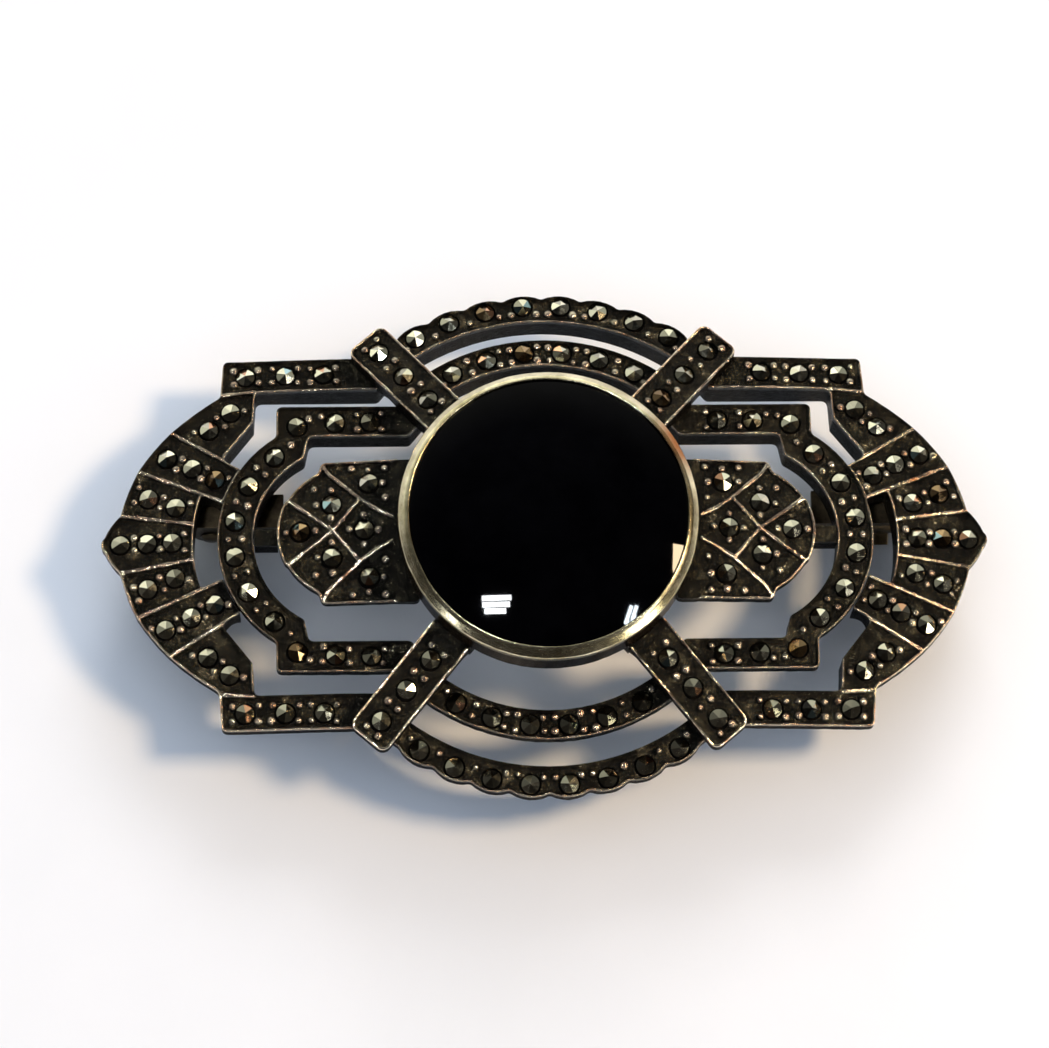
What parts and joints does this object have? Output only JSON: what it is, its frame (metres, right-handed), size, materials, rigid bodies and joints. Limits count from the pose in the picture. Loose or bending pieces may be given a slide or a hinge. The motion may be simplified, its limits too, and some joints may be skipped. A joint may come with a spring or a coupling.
{
  "type": "brooch",
  "caption": "Stepped openwork silver brooch set with small faceted stones round a low-domed black stone, with a hinged pin and a roll-over catch.",
  "frame": {"origin": "middle of the bounding box, at the lowest point of the catch", "axes": "+X along the length towards the catch, +Y up the face, +Z out of the face"},
  "size_m": [0.0508, 0.03, 0.0115],
  "materials": {
    "oxidised_silver": "oxidised cast silver, worn bright on the edges",
    "worn_silver": "satin silver with light tarnish",
    "pin_silver": "drawn silver wire",
    "black_onyx": "polished black stone",
    "marcasite": "polished faceted pyrite"
  },
  "bodies": {
    "frame": {"end_fan_right": "oxidised_silver", "end_fan_left": "oxidised_silver", "outer_arc_top": "oxidised_silver", "outer_arc_bottom": "oxidised_silver", "ring_right": "oxidised_silver", "ring_left": "oxidised_silver", "inner_arc_top": "oxidised_silver", "inner_arc_bottom": "oxidised_silver", "strap_top_right": "oxidised_silver", "strap_top_left": "oxidised_silver", "strap_bottom_left": "oxidised_silver", "strap_bottom_right": "oxidised_silver", "shield_right": "oxidised_silver", "shield_left": "oxidised_silver", "bezel_cup": "worn_silver", "onyx_cabochon": "black_onyx", "pin_hinge_bracket": "worn_silver", "pin_hinge_rivet": "worn_silver", "catch_body": "worn_silver", "strap_top_right_marcasite_1": "marcasite", "strap_top_right_marcasite_2": "marcasite", "strap_top_right_marcasite_3": "marcasite", "strap_top_left_marcasite_1": "marcasite", "strap_top_left_marcasite_2": "marcasite", "strap_top_left_marcasite_3": "marcasite", "strap_bottom_left_marcasite_1": "marcasite", "strap_bottom_left_marcasite_2": "marcasite", "strap_bottom_left_marcasite_3": "marcasite", "strap_bottom_right_marcasite_1": "marcasite", "strap_bottom_right_marcasite_2": "marcasite", "strap_bottom_right_marcasite_3": "marcasite", "bar_right_marcasite_1": "marcasite", "bar_right_marcasite_2": "marcasite", "bar_right_marcasite_3": "marcasite", "bar_right_marcasite_4": "marcasite", "bar_right_marcasite_5": "marcasite", "bar_right_marcasite_6": "marcasite", "shield_right_marcasite_1": "marcasite", "shield_right_marcasite_2": "marcasite", "shield_right_marcasite_3": "marcasite", "shield_right_marcasite_4": "marcasite", "shield_right_marcasite_5": "marcasite", "shield_right_marcasite_6": "marcasite", "bar_left_marcasite_1": "marcasite", "bar_left_marcasite_2": "marcasite", "bar_left_marcasite_3": "marcasite", "bar_left_marcasite_4": "marcasite", "bar_left_marcasite_5": "marcasite", "bar_left_marcasite_6": "marcasite", "shield_left_marcasite_1": "marcasite", "shield_left_marcasite_2": "marcasite", "shield_left_marcasite_3": "marcasite", "shield_left_marcasite_4": "marcasite", "shield_left_marcasite_5": "marcasite", "shield_left_marcasite_6": "marcasite"},
    "pin": {"pin_stem": "pin_silver"},
    "sleeve": {"catch_sleeve": "worn_silver"}
  },
  "joints": [
    {"name": "pin_hinge", "type": "hinge", "parent": "frame", "child": "pin", "pos_m": [-0.0192, 0.0026, 0.0013], "axis": [0, 1, 0], "range_deg": [0, 80]},
    {"name": "catch_turn", "type": "hinge", "parent": "frame", "child": "sleeve", "pos_m": [0.0197, 0.0026, 0.0013], "axis": [1, 0, 0], "range_deg": [0, 135]}
  ]
}
